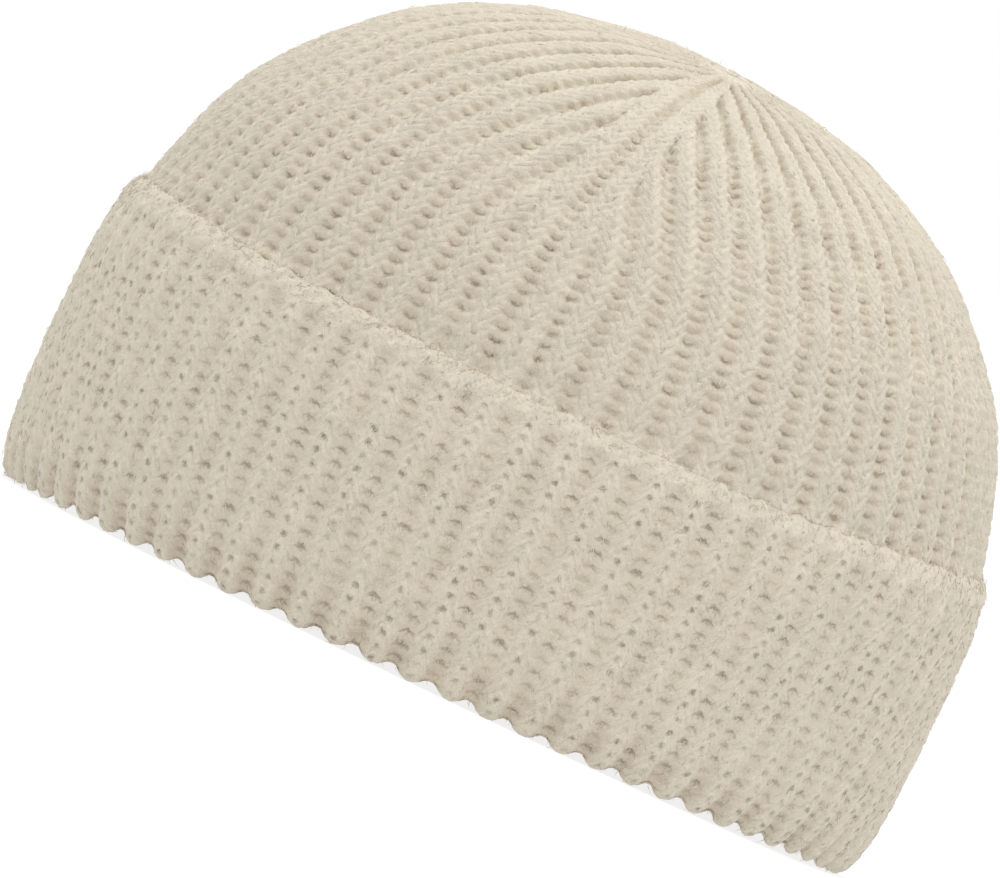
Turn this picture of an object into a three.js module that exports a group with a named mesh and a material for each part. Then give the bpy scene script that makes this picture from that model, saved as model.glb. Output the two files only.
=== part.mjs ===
import * as THREE from 'three';

// Soft ribbed knit cap with a deep turned-up cuff, standing on the fold of
// the cuff. Millimetres, +Z up, origin at the centre of the rim where it
// rests. The front of the cap faces -Y.

// Overall size
const CAP_WIDTH = 204; // side to side, over the cuff
const CAP_DEPTH = 188; // front to back, over the cuff
const CAP_HEIGHT = 144; // rim to the top of the dome

// Knit
const KNIT_WALL = 4.2; // thickness of one layer of the ribbed knit
const RIB_RELIEF = 1.4; // crest to valley on the outside
const LINING_RELIEF = 0.7; // crest to valley on the inside
const LAYER_GAP = 0.32; // between the inner band and the cuff folded over it

// Ribs and gathers
const GORES = 4; // sectors of the crown between the lines of decreases
const RIBS_PER_GORE = 16;
const FIRST_LINE_DEG = 262; // bearing of the decrease line nearest the front
const GATHER_PULL = 1.3; // how strongly the ribs are drawn to the lines
const GATHER_START = 0.93; // share of the band radius where the gathers begin
const GATHER_SPARE = 0.25; // share of a rib's width that it always keeps

// Crown
const DOME_START = 66; // height at which the crown begins to draw in
const POLE_RIGHT = 4.7; // where the ribs meet, to the right of the middle
const POLE_FORWARD = 15; // and towards the front
const BAND_EDGE = 0.9; // rounding of the band's lower edge

// Cuff
const CUFF_HEIGHT = 68.5; // rim to the top edge at the sides
const CUFF_DIP = 4.7; // how much lower the top edge lies at front and back
const SCALLOP = 0.8; // how far the valleys lift at the fold

// Finish
const YARN_COLOUR = 0xd0c8b4;
const YARN_ROUGHNESS = 0.95;

const SEGMENTS = 2 * GORES * RIBS_PER_GORE;
const CUFF_RADIUS = CAP_WIDTH / 2;
const CUFF_INNER_RADIUS = CUFF_RADIUS - KNIT_WALL;
const BAND_RADIUS = CUFF_INNER_RADIUS - LAYER_GAP;
const BAND_INNER_RADIUS = BAND_RADIUS - KNIT_WALL;
const FOLD_HEIGHT = KNIT_WALL;
const BAND_FOOT = FOLD_HEIGHT + LAYER_GAP;
const DEPTH_SHARE = CAP_DEPTH / CAP_WIDTH;
const DOME_HEIGHT = CAP_HEIGHT - DOME_START;

// Outside of the dome, from the band up to the top.
// rise: share of the dome height, reach: share of the band radius,
// lined: whether the inside of the dome has a ring there too
const DOME_ROWS = [
  { rise: 0.0, reach: 1.0, lined: true },
  { rise: 0.1, reach: 0.992, lined: false },
  { rise: 0.2, reach: 0.969, lined: true },
  { rise: 0.295, reach: 0.943, lined: false },
  { rise: 0.372, reach: 0.916, lined: true },
  { rise: 0.455, reach: 0.881, lined: false },
  { rise: 0.536, reach: 0.838, lined: true },
  { rise: 0.615, reach: 0.784, lined: false },
  { rise: 0.692, reach: 0.721, lined: true },
  { rise: 0.778, reach: 0.638, lined: false },
  { rise: 0.859, reach: 0.53, lined: true },
  { rise: 0.94, reach: 0.3765, lined: false },
  { rise: 0.9795, reach: 0.217, lined: true },
  { rise: 0.995, reach: 0.1, lined: false },
  { rise: 1.0, reach: 0.0, lined: true },
];

// Outside of the cuff, from the fold up to the top edge and over it.
// inset: share of the knit wall inwards from the cuff radius,
// rise: share of the cuff height, rib: share of the rib relief,
// lift: share of the scallop
const CUFF_ROWS = [
  { inset: 1.33, rise: 0.0, rib: 0.0, lift: 0.0 },
  { inset: 0.74, rise: 0.032, rib: 0.4, lift: 1.0 },
  { inset: 0.5, rise: 0.078, rib: 0.9, lift: 0.4 },
  { inset: 0.3, rise: 0.15, rib: 1.0, lift: 0.0 },
  { inset: 0.12, rise: 0.285, rib: 1.0, lift: 0.0 },
  { inset: 0.0, rise: 0.55, rib: 1.0, lift: 0.0 },
  { inset: 0.0, rise: 0.8, rib: 1.0, lift: 0.0 },
  { inset: 0.14, rise: 0.885, rib: 1.0, lift: 0.0 },
  { inset: 0.38, rise: 0.94, rib: 0.8, lift: 0.0 },
  { inset: 0.68, rise: 0.985, rib: 0.3, lift: 0.0 },
  { inset: 0.87, rise: 1.0, rib: 0.0, lift: 0.0 },
];

// One point of a profile: radius, height, how much of the relief it takes
// and how far its valleys lift.
function profilePoint(r, z, relief, lift) {
  return { r, z, relief, lift };
}

// Moves each point of a profile by a distance along its own normal, towards
// the axis side.
function offsetInwards(points, distance) {
  return points.map((point, index) => {
    const normal = normalAt(points, index);
    return profilePoint(
      Math.max(0, point.r - distance * normal.x),
      point.z - distance * normal.y,
      point.relief,
      point.lift,
    );
  });
}

// Outward normal of a profile that runs upwards, as (radial, vertical).
function normalAt(points, index) {
  const before = points[Math.max(0, index - 1)];
  const after = points[Math.min(points.length - 1, index + 1)];
  if (points[index].r === 0) {
    return new THREE.Vector2(0, 1);
  }
  const along = new THREE.Vector2(after.r - before.r, after.z - before.z);
  along.normalize();
  return new THREE.Vector2(along.y, -along.x);
}

// Height of a dome profile at a radius.
function heightAt(profile, radius) {
  for (let i = 0; i < profile.length - 1; i += 1) {
    const low = profile[i];
    const high = profile[i + 1];
    if (radius <= low.r && radius >= high.r) {
      const share = (low.r - radius) / Math.max(low.r - high.r, 1e-9);
      return low.z + share * (high.z - low.z);
    }
  }
  return profile[0].z;
}

// Bearing of a rib edge: the ribs of a gore crowd towards the decrease lines
// as the crown draws in.
function gatheredBearing(column, reach) {
  const perGore = SEGMENTS / GORES;
  const gore = Math.floor(column / perGore);
  const across = (2 * (column - gore * perGore)) / perGore - 1;
  const drawn = Math.max(0, GATHER_START - reach) / GATHER_START;
  const power = 1 + GATHER_PULL * drawn;
  const pulled = Math.sign(across) * (1 - Math.pow(1 - Math.abs(across), power));
  const eased = THREE.MathUtils.lerp(pulled, across, GATHER_SPARE);
  const share = (gore + (eased + 1) / 2) / GORES;
  return THREE.MathUtils.degToRad(FIRST_LINE_DEG) + 2 * Math.PI * share;
}

// Share of the relief that is left where the ribs crowd together.
function ribShare(column, reach) {
  const step = 2 * Math.PI / SEGMENTS;
  const before = gatheredBearing(column - 0.5, reach);
  const after = gatheredBearing(column + 0.5, reach);
  return Math.min(1, Math.abs(after - before) / step * Math.sqrt(reach));
}

// How far the rings of the dome slide towards the pole.
function poleSlide(reach) {
  const inside = Math.max(0, 1 - reach * reach);
  return Math.pow(inside, 1.5);
}

// Turns a profile into a closed body and lets a function place each vertex.
function revolve(points, place) {
  const outline = points.map((point) => new THREE.Vector2(point.r, point.z));
  const geometry = new THREE.LatheGeometry(outline, SEGMENTS);
  const position = geometry.attributes.position;
  for (let column = 0; column <= SEGMENTS; column += 1) {
    for (let row = 0; row < points.length; row += 1) {
      const spot = place(points[row], row, column % SEGMENTS);
      position.setXYZ(column * points.length + row, spot.x, spot.y, spot.z);
    }
  }
  geometry.computeVertexNormals();
  return geometry;
}

// Outside of the dome as a profile that runs from the band to the top.
function outerDome() {
  return DOME_ROWS.map((row) => profilePoint(
    row.reach * BAND_RADIUS,
    DOME_START + row.rise * DOME_HEIGHT,
    RIB_RELIEF,
    0,
  ));
}

// The crown: an open-bottomed shell whose band runs down inside the cuff.
function buildCrown() {
  const outside = outerDome();
  const inside = offsetInwards(outside, KNIT_WALL)
    .filter((point, index) => DOME_ROWS[index].lined);
  const topOutside = outside.map((point, index) => ({
    ...point,
    normal: normalAt(outside, index),
    skin: outside,
  }));
  const topInside = inside.map((point, index) => ({
    ...point,
    relief: LINING_RELIEF,
    normal: normalAt(inside, index),
    skin: inside,
  }));
  const straight = new THREE.Vector2(1, 0);
  const bandEdge = [
    profilePoint(BAND_INNER_RADIUS, BAND_FOOT + BAND_EDGE, LINING_RELIEF, 0),
    profilePoint(BAND_INNER_RADIUS + BAND_EDGE, BAND_FOOT, 0, 0),
    profilePoint(BAND_RADIUS - BAND_EDGE, BAND_FOOT, 0, 0),
    profilePoint(BAND_RADIUS, BAND_FOOT + BAND_EDGE, RIB_RELIEF, 0),
  ].map((point) => ({ ...point, normal: straight, skin: null }));
  const loop = [...topInside.reverse(), ...bandEdge, ...topOutside];

  return revolve(loop, (point, row, column) => {
    const reach = Math.min(1, point.r / BAND_RADIUS);
    const bearing = gatheredBearing(column, reach);
    const valley = column % 2 === 1;
    const edge = point.r > 0 ? ribShare(column, reach) : 0;
    const depth = valley ? point.relief * edge : 0;
    const slide = point.skin ? poleSlide(reach) : 0;
    const across = point.r * Math.cos(bearing) + slide * POLE_RIGHT;
    const along = point.r * Math.sin(bearing) * DEPTH_SHARE - slide * POLE_FORWARD;
    const moved = Math.hypot(across, along / DEPTH_SHARE);
    const height = slide > 0 ? heightAt(point.skin, moved) : point.z;
    const grip = moved > 0 ? 1 - depth * point.normal.x / moved : 1;
    return new THREE.Vector3(across * grip, along * grip, height - depth * point.normal.y);
  });
}

// The cuff: the knit turned up over the band, with the fold as its foot.
function buildCuff() {
  const outside = CUFF_ROWS.map((row) => profilePoint(
    CUFF_RADIUS - row.inset * KNIT_WALL,
    row.rise * CUFF_HEIGHT,
    row.rib * RIB_RELIEF,
    row.lift * SCALLOP,
  ));
  const edge = CUFF_HEIGHT - 0.25 * KNIT_WALL;
  const loop = [
    ...outside,
    profilePoint(CUFF_INNER_RADIUS, edge, 0, 0),
    profilePoint(CUFF_INNER_RADIUS, FOLD_HEIGHT, 0, 0),
    profilePoint(BAND_INNER_RADIUS, FOLD_HEIGHT, LINING_RELIEF, 0),
    profilePoint(BAND_INNER_RADIUS, 0.3 * FOLD_HEIGHT, LINING_RELIEF, 0),
    profilePoint(BAND_INNER_RADIUS + 0.25 * KNIT_WALL, 0, 0, 0),
  ];
  loop.push(loop[0]);

  return revolve(loop, (point, row, column) => {
    const bearing = gatheredBearing(column, 1);
    const valley = column % 2 === 1;
    const radius = point.r - (valley ? point.relief : 0);
    const climb = Math.pow(point.z / CUFF_HEIGHT, 2);
    const dip = CUFF_DIP * Math.pow(Math.sin(bearing), 2) * climb;
    const lift = valley ? point.lift : 0;
    return new THREE.Vector3(
      radius * Math.cos(bearing),
      radius * Math.sin(bearing) * DEPTH_SHARE,
      point.z - dip + lift,
    );
  });
}

function piece(name, geometry) {
  const material = new THREE.MeshStandardMaterial({
    color: YARN_COLOUR,
    roughness: YARN_ROUGHNESS,
    metalness: 0,
  });
  const mesh = new THREE.Mesh(geometry, material);
  mesh.name = name;
  return mesh;
}

const group = new THREE.Group();
group.add(piece('crown', buildCrown()));
group.add(piece('cuff', buildCuff()));

export default group;
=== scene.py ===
"""Looks of the ribbed knit cap: the relief of its stitches, its fuzz, the studio and the camera.

Lengths are in metres unless a name says otherwise. +Z is up, the front of the cap faces -Y,
and the origin is the centre of the rim.
"""

import logging
import math
from dataclasses import dataclass, field
from enum import Enum
from itertools import chain

import bmesh
import bpy
import numpy as np
from mathutils import Matrix, Vector

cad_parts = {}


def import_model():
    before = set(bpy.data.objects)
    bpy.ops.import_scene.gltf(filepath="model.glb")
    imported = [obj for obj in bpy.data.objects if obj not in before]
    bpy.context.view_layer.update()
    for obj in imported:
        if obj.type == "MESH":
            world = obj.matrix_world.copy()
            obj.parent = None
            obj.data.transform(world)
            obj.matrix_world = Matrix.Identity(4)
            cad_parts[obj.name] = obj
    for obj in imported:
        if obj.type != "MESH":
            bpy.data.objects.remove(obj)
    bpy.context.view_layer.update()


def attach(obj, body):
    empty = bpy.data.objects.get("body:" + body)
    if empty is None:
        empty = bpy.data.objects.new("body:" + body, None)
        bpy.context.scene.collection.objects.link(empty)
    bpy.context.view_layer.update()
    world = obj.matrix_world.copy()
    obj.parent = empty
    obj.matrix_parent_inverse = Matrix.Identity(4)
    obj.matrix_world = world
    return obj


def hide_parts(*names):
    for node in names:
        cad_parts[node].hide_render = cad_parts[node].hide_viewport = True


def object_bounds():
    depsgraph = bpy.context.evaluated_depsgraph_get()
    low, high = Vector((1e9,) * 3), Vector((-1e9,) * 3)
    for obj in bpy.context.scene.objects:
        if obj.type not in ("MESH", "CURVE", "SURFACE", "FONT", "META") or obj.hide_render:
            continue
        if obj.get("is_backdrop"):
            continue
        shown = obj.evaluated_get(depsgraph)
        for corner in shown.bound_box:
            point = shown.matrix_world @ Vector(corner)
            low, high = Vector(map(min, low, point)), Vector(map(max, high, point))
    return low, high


LOG = logging.getLogger("cap")
MM = 0.001


class Side(Enum):
    """The gore or length of knit that a piece is, counted round from the front."""

    FRONT = 0
    RIGHT = 1
    BACK = 2
    LEFT = 3


class Outside(Enum):
    """The side of an outline that its outside lies on, looking the way that it runs."""

    RIGHT = 1.0
    LEFT = -1.0


@dataclass(frozen=True)
class CapSize:
    """Named sizes of the cap.

    Attributes:
        width: Across the cuff from side to side.
        depth: Across the cuff from front to back.
        height: From the rim to the top.
        wall: Thickness of the knit.
        layer_gap: Between the band and the cuff round it.
        dome_start: Height at which the band starts to draw in.
        cuff_height: Height of the cuff at the sides.
        cuff_dip: How much lower the cuff is at the front and back.
        cuff_lean: How far the ribs of the cuff lean on their way down, in radians.
        pole_right: How far the top lies off centre to the right.
        pole_forward: How far the top lies off centre to the front.
        row: Height of one row of stitches.
        gores: Number of gores of the crown.
        ribs_per_gore: Number of ribs in each at the band.
        first_line_deg: Bearing of the first line of decreases.
    """

    width: float = 204 * MM
    depth: float = 188 * MM
    height: float = 143.2 * MM
    wall: float = 4.2 * MM
    layer_gap: float = 0.32 * MM
    dome_start: float = 66 * MM
    cuff_height: float = 68.5 * MM
    cuff_dip: float = 4.7 * MM
    cuff_lean: float = 0.075
    pole_right: float = 4.7 * MM
    pole_forward: float = 15 * MM
    row: float = 3.27 * MM
    gores: int = 4
    ribs_per_gore: int = 16
    first_line_deg: float = 260.3

    @property
    def cuff_radius(self) -> float:
        """Outer half width of the cuff."""
        return self.width / 2

    @property
    def band_radius(self) -> float:
        """Outer half width of the band inside the cuff."""
        return self.cuff_radius - self.wall - self.layer_gap

    @property
    def depth_share(self) -> float:
        """Depth of the cap as a share of its width."""
        return self.depth / self.width

    @property
    def ribs(self) -> int:
        """Number of ribs round the cuff."""
        return self.gores * self.ribs_per_gore

    @property
    def pitch(self) -> float:
        """Width of one rib of the cuff, knit column and purl valley together."""
        return math.pi * (self.width + self.depth) / 2 / self.ribs


SIZE = CapSize()


# Outside of the dome: share of the dome height, share of the band radius
DOME_ROWS = (
    (0.0, 1.0),
    (0.05, 0.998),
    (0.1, 0.992),
    (0.2, 0.969),
    (0.295, 0.943),
    (0.372, 0.916),
    (0.455, 0.881),
    (0.536, 0.835),
    (0.615, 0.781),
    (0.692, 0.721),
    (0.778, 0.638),
    (0.859, 0.53),
    (0.904, 0.45),
    (0.94, 0.3765),
    (0.9795, 0.217),
    (0.995, 0.1),
    (1.0, 0.0),
)

# Face of the cuff from inside its top edge over and down, then round the fold:
# inset as a share of the wall, height as a share of the cuff height
CUFF_ROWS = (
    (1.6, 0.965),
    (1.3, 0.99),
    (1.05, 1.0),
    (0.84, 0.985),
    (0.6, 0.952),
    (0.37, 0.905),
    (0.17, 0.85),
    (0.05, 0.785),
    (0.0, 0.7),
    (0.0, 0.55),
    (0.04, 0.42),
    (0.12, 0.285),
    (0.3, 0.15),
    (0.5, 0.085),
    (0.82, 0.032),
    (1.2, 0.004),
    (1.6, 0.008),
    (1.93, 0.035),
    (2.08, 0.08),
    (2.08, 0.12),
)

# Ribs left in a gore as the crown draws in: share of the band radius, ribs
GORE_ROWS = (
    (0.0, 4.2),
    (0.1, 5.6),
    (0.287, 8.0),
    (0.467, 10.4),
    (0.663, 12.6),
    (0.79, 14.4),
    (0.885, 15.6),
    (0.915, 16.0),
    (2.0, 16.0),
)

# Cells of the finely made faces: across one rib, and along one row
RIB_CELLS = 12
ROW_CELLS = 5

# Steps between two points of an outline
OUTLINE_STEPS = 24


def unit(vectors: np.ndarray) -> np.ndarray:
    """Directions of an array of vectors, as vectors of length 1."""
    return vectors / np.linalg.norm(vectors, axis=-1, keepdims=True)


class Profile:
    """A smooth outline of half the cap, measured by the length along it.

    Attributes:
        length: Whole length along the outline.
    """

    def __init__(
        self, points: list[tuple[float, float]], outside: Outside = Outside.RIGHT
    ) -> None:
        """Fits a smooth line through the points.

        Args:
            points: Radius and height of each point, in order.
            outside: Side of the outline that the normals point to.
        """
        knots = np.array(points)
        ends = np.vstack([2 * knots[0] - knots[1], knots, 2 * knots[-1] - knots[-2]])
        steps = np.linspace(0, 1, OUTLINE_STEPS, endpoint=False)[:, None]
        runs = []
        for i in range(1, len(ends) - 2):
            p0, p1, p2, p3 = ends[i - 1], ends[i], ends[i + 1], ends[i + 2]
            runs.append(
                0.5
                * (
                    2 * p1
                    + (p2 - p0) * steps
                    + (2 * p0 - 5 * p1 + 4 * p2 - p3) * steps**2
                    + (3 * p1 - p0 - 3 * p2 + p3) * steps**3
                )
            )
        self._line = np.vstack([*runs, knots[-1:]])
        self._line[:, 0] = np.maximum(self._line[:, 0], 0)
        self._drawn_in = np.maximum.accumulate(-self._line[:, 0])
        gaps = np.linalg.norm(np.diff(self._line, axis=0), axis=1)
        self._along = np.concatenate([[0], np.cumsum(gaps)])
        self.length = float(self._along[-1])
        slope = np.gradient(self._line, self._along, axis=0)
        normal = np.stack([slope[:, 1], -slope[:, 0]], axis=1) * outside.value
        self._normal = unit(normal)

    def point(self, along: np.ndarray) -> tuple[np.ndarray, np.ndarray]:
        """Radius and height at a length along the outline."""
        return self._at(along, self._line)

    def normal(self, along: np.ndarray) -> tuple[np.ndarray, np.ndarray]:
        """Radial and vertical part of the outward normal at a length."""
        return self._at(along, self._normal)

    def along_at_radius(self, radius: np.ndarray) -> np.ndarray:
        """Length along an outline that only draws in, where it has this radius."""
        return np.interp(-radius, self._drawn_in, self._along)

    def _at(self, along: np.ndarray, table: np.ndarray) -> tuple[np.ndarray, np.ndarray]:
        """Both columns of a table of the outline, at a length along it."""
        across, up = (np.interp(along, self._along, column) for column in table.T)
        return across, up


@dataclass(frozen=True)
class GoreLayout:
    """Numbers the ribs, which meet four lines of decreases as the crown draws in.

    Attributes:
        size: Sizes of the cap.
        nudge: Turn that keeps a point on a line of decreases in the gore after it.
    """

    size: CapSize = SIZE
    nudge: float = 1e-9

    @property
    def first_line(self) -> float:
        """Bearing of the first line of decreases, in radians."""
        return math.radians(self.size.first_line_deg)

    def left(self, reach: np.ndarray) -> np.ndarray:
        """Number of ribs left in a gore at a share of the band radius."""
        return np.interp(reach, *np.transpose(GORE_ROWS))

    def bearings(self, side: Side, per_rib: int) -> np.ndarray:
        """Evenly spaced bearings from one line of decreases to the next, and one past each end.

        Args:
            side: The gore.
            per_rib: Number of bearings to a rib.

        Returns:
            Bearings in radians, the first and last for the columns that lap.
        """
        shares = np.linspace(0, 1, self.size.ribs_per_gore * per_rib + 1)
        between = self.first_line + (side.value + shares) * math.tau / self.size.gores
        lap = math.tau / (self.size.ribs * RIB_CELLS)
        return np.concatenate([[between[0] - lap], between, [between[-1] + lap]])

    def from_line(
        self, bearing: np.ndarray, reach: np.ndarray
    ) -> tuple[np.ndarray, np.ndarray]:
        """Counts the ribs from the nearest line of decreases.

        Args:
            bearing: Bearings of the points.
            reach: Radii as shares of the band radius.

        Returns:
            Ribs from the line, and rib numbers round the whole crown.
        """
        turn = self._turn(bearing)
        line = np.rint(turn)
        away = (turn - line) * self.left(reach)
        return away, line * self.size.ribs_per_gore + away

    def from_middle(self, bearing: np.ndarray, reach: np.ndarray) -> np.ndarray:
        """Counts the ribs from the middle of the gore.

        Args:
            bearing: Bearings of the points.
            reach: Radii as shares of the band radius.

        Returns:
            Rib numbers round the whole crown.
        """
        turn = self._turn(bearing)
        middle = np.floor(turn) + 0.5
        away = (turn - middle) * self.left(reach)
        return middle * self.size.ribs_per_gore + away

    def _turn(self, bearing: np.ndarray) -> np.ndarray:
        """Gores round from the first line of decreases, with fractions."""
        return (bearing - self.first_line) / (math.tau / self.size.gores) + self.nudge


@dataclass
class KnitSurface:
    """A smooth face of the cap that the relief of the knit is laid on.

    Attributes:
        profile: Outline of the face.
        size: Sizes of the cap.
        slides: Whether the rings slide towards the off-centre top.
        dips: Whether the heights dip at the front and back.
        base: Radius that shares are taken of.
    """

    profile: Profile
    size: CapSize
    slides: bool = False
    dips: bool = False
    base: float = SIZE.band_radius

    def spot(self, bearing: np.ndarray, along: np.ndarray, lift: np.ndarray) -> np.ndarray:
        """Places points on or off the face.

        Args:
            bearing: Bearings of the points, in radians.
            along: Lengths along the outline.
            lift: Distances off the face.

        Returns:
            The points, with X, Y and Z as the last axis.
        """
        size = self.size
        radius, height = self.profile.point(along)
        if self.dips:
            low = np.clip(1 - height / size.cuff_height, 0, 1)
            bearing = bearing - size.cuff_lean * low * np.sin(bearing + math.pi / 2)
        across = radius * np.cos(bearing)
        forth = radius * np.sin(bearing)
        if self.slides:
            slide = np.maximum(0, 1 - (radius / self.base) ** 2) ** 1.5
            across = across + slide * size.pole_right
            forth = forth - slide * size.pole_forward / size.depth_share
            moved = np.hypot(across, forth)
            bearing = np.arctan2(forth, across)
            along = np.where(slide > 0, self.profile.along_at_radius(moved), along)
            _, height = self.profile.point(along)
        radial, vertical = self.profile.normal(along)
        normal = np.stack(
            [
                radial * np.cos(bearing),
                radial * np.sin(bearing) / size.depth_share,
                vertical,
            ],
            axis=-1,
        )
        if self.dips:
            climb = np.clip(height / size.cuff_height, 0, 1.2) ** 2
            height = height - size.cuff_dip * np.sin(bearing) ** 2 * climb
        spot = np.stack([across, forth * size.depth_share, height], axis=-1)
        return spot + unit(normal) * lift[..., None]


# How far a piece's first and last column lie under the pieces beside, in millimetres
TUCK = 0.04


def tuck(high: np.ndarray) -> np.ndarray:
    """Lowers the first and last column, which lap under the pieces beside.

    Args:
        high: Heights over the face, in millimetres, rings by columns.

    Returns:
        The heights with both columns lowered.
    """
    lowered = np.zeros_like(high)
    lowered[:, [0, -1]] = TUCK
    return high - lowered


def smooth(share: np.ndarray) -> np.ndarray:
    """Eases from 0 to 1 as a share goes from 0 to 1."""
    share = np.clip(share, 0, 1)
    return share * share * (3 - 2 * share)


def hump(offset: np.ndarray, width: float) -> np.ndarray:
    """A bell curve, 1 in the middle."""
    return np.exp(-((offset / width) ** 2))


@dataclass(frozen=True)
class Ramp:
    """An eased rise from 0 to 1.

    Attributes:
        start: Where it leaves 0.
        run: How far from there it reaches 1, negative where it rises the other way.
    """

    start: float
    run: float

    def at(self, place: np.ndarray) -> np.ndarray:
        """Height of the ramp at a place."""
        return smooth((place - self.start) / self.run)


@dataclass(frozen=True)
class StitchShape:
    """Relief of the knit. Widths are shares of a rib, lengths are rows, heights are millimetres.

    Attributes:
        ridge: Height of a knit column over the valley beside it.
        half_column: Half the width of a knit column.
        soft: Half the width of the flank between column and valley.
        leg: Relief of the legs of each V.
        leg_rise: Rows that a leg climbs in the width of a rib.
        scallop: How far the edges of a column wave in and out.
        rounding: Fall of a column from its middle to its edge, as a share of the ridge.
        dot: Depth of the hole at the foot of each V.
        dot_width: Half the width of the hole.
        dot_length: Half the length of the hole.
        bump: Relief of the purl bumps.
        slit: Depth of the curved slit between two purl bumps.
        slit_width: Half thickness of the slit.
        slit_reach: Half the length of the slit.
        sag: How far the slit sags.
        lag: How far the slits lie behind the holes.
        jitter: How far whole columns are set off along themselves.
        sway: How far a stitch leans out of its column.
        uneven: How much higher or lower one stitch is than the next.
        faint: Depth of the shallowest hole or slit, as a share of the deepest.
        stem: How dark a short slit is drawn from the middle of the curved one, as painted shade
            and a dent in the bump.
        eye: How dark the hole at the foot of each V is drawn, as painted shade and a dent in the
            bump.
        ink: How dark the gaps between the legs are drawn, as painted shade and a dent in the
            bump.
    """

    ridge: float
    half_column: float = 0.31
    soft: float = 0.14
    leg: float = 0.34
    leg_rise: float = 4.0
    scallop: float = 0.025
    rounding: float = 0.3
    dot: float = 0.4
    dot_width: float = 0.062
    dot_length: float = 0.19
    bump: float = 0.3
    slit: float = 0.4
    slit_width: float = 0.13
    slit_reach: float = 0.2
    sag: float = 0.3
    lag: float = 0.25
    jitter: float = 0.13
    sway: float = 0.02
    uneven: float = 0.08
    faint: float = 0.2
    stem: float = 0.0
    eye: float = 1.0
    ink: float = 0.5


CROWN_STITCH = StitchShape(
    ridge=1.3,
    half_column=0.335,
    leg=0.58,
    scallop=0.05,
    dot=0.15,
    bump=0.22,
    slit_reach=0.17,
    sag=0.2,
    eye=0.5,
    ink=0.36,
)
CUFF_STITCH = StitchShape(
    ridge=0.82,
    half_column=0.3,
    soft=0.17,
    leg=0.3,
    dot=0.25,
    bump=0.12,
    slit=0.22,
    slit_width=0.12,
    slit_reach=0.19,
    sag=0.26,
    stem=0.4,
    ink=0.3,
)


@dataclass(frozen=True)
class Pull:
    """How the knit is drawn out at an array of points, as shares of its usual relief.

    Attributes:
        ridge: Share of the height of the columns.
        knit: Share of the relief of the knit stitches.
        purl: Share of the relief of the purl stitches.
        spread: Widening of the columns, as a share of a rib.
    """

    ridge: np.ndarray | float = 1.0
    knit: np.ndarray | float = 1.0
    purl: np.ndarray | float = 1.0
    spread: np.ndarray | float = 0.0


@dataclass
class Reading:
    """What the knit is like at an array of points.

    Attributes:
        height: Height over the face, in millimetres, 0 on the columns.
        stitch: Rib number, row number of the holes and row number of the slits.
        strand: Place along the yarn, across it and round the cap, in millimetres.
        detail: Shares of the knit stitches, of the purl stitches and of the painted shade in the
            valleys.
    """

    height: np.ndarray
    stitch: np.ndarray
    strand: np.ndarray
    detail: np.ndarray

    def choose(self, other: "Reading", blend: float) -> "Reading":
        """Merges two overlapping faces, the higher one on top.

        Args:
            other: The other face.
            blend: Depth over which the faces run together, in millimetres.

        Returns:
            The merged face, its details faded where the two run together.
        """
        share = smooth(0.5 + (self.height - other.height) / blend / 2)
        gap = blend * share * (1 - share) * 0.5
        height = self.height * share + other.height * (1 - share) + gap
        upper = share[..., None] > 0.5
        stitch = np.where(upper, self.stitch, other.stitch)
        strand = np.where(upper, self.strand, other.strand)
        seam = smooth(np.abs(self.height - other.height) / blend - 0.4)
        own = np.where(upper, self.detail, other.detail)
        return Reading(height, stitch, strand, own * seam[..., None])


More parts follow.
